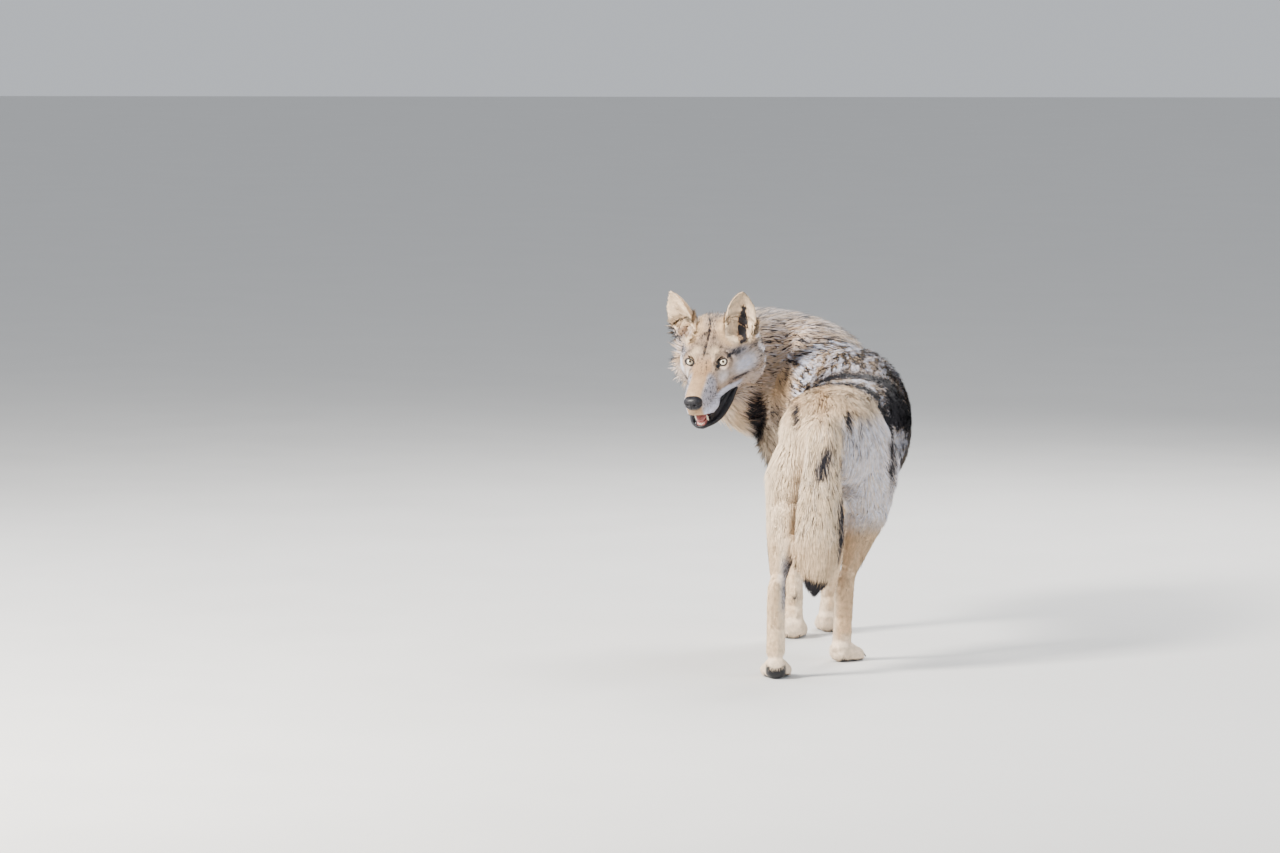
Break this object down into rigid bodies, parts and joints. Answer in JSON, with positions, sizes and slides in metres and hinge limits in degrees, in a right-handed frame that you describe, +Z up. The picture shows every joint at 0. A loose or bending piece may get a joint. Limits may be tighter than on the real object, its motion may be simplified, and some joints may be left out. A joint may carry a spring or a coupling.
{
  "type": "timber wolf model",
  "caption": "Life-size still model of a timber wolf in winter coat, walking away on all fours with its head turned back over its left shoulder and its mouth open.",
  "frame": {"origin": "on the floor, under the middle of the box that bounds the wolf", "axes": "+Z up; the wolf's rump is towards +Y and its chest towards -Y; its own left side is towards +X"},
  "size_m": [0.5906, 1.0834, 0.8676],
  "materials": {
    "trunk": "grizzled grey coat, black-tipped over a pale undercoat",
    "neck": "grey-brown mane",
    "head": "short grizzled coat with a pale cheek, bare black lips and upper canines",
    "jaw": "black lips, pale short coat and lower front teeth",
    "ear": "ochre back, cream inner hair",
    "eye": "wet, pale amber iris and a small black pupil",
    "nose": "bare, black, moist and pebbled",
    "tongue": "moist pink",
    "tail": "bushy, grey and cream with a black tip",
    "foreleg": "short tan coat",
    "hindleg": "cream coat, tan below the hock",
    "paw": "short pale coat, dark pads and claws"
  },
  "bodies": {
    "root": {"trunk": "trunk", "neck": "neck", "head": "head", "jaw": "jaw", "ear_left": "ear", "ear_right": "ear", "eye_left": "eye", "eye_right": "eye", "nose": "nose", "tongue": "tongue", "tail": "tail", "foreleg_left": "foreleg", "foreleg_right": "foreleg", "hindleg_left": "hindleg", "hindleg_right": "hindleg", "paw_fore_left": "paw", "paw_fore_right": "paw", "paw_hind_left": "paw", "paw_hind_right": "paw"}
  },
  "joints": []
}
